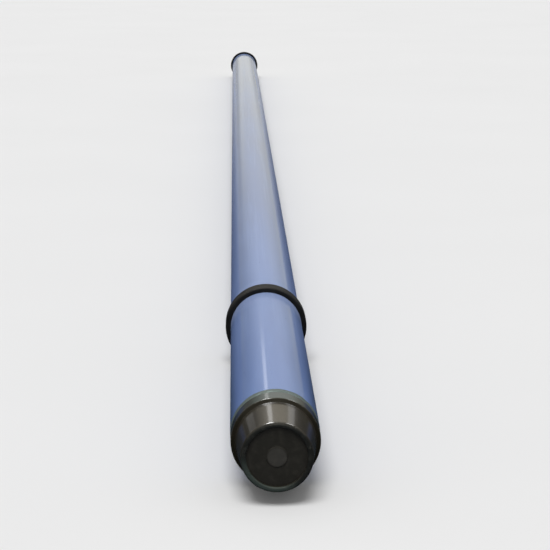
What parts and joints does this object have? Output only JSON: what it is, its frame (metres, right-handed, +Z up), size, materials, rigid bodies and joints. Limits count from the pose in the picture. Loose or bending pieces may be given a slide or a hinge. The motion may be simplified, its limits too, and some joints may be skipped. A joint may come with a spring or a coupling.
{
  "type": "drill collar",
  "caption": "Long painted steel drill collar with a through bore, tapered threaded pin and box ends under thread protectors, lying on its rubber spacer rings.",
  "frame": {"origin": "centre of the pin shoulder, on the collar's axis", "axes": "+Y along the collar from the pin to the box, +Z up, the flattened side of the rubber rings facing down"},
  "size_m": [0.1954, 9.308, 0.1942],
  "materials": {
    "collar": "semi-gloss blue enamel, bare steel beside the pin shoulder",
    "protector_shell": "gloss charcoal enamel on pressed steel, greenish grey on the flange",
    "protector_plastic": "dull black moulding",
    "spacer_ring": "dull black rubber"
  },
  "bodies": {
    "root": {"collar": "collar", "pin_protector_shell": "protector_shell", "pin_protector_liner": "protector_plastic", "box_protector_shell": "protector_shell", "box_protector_liner": "protector_plastic", "spacer_ring_pin_end": "spacer_ring", "spacer_ring_box_end": "spacer_ring"}
  },
  "joints": []
}
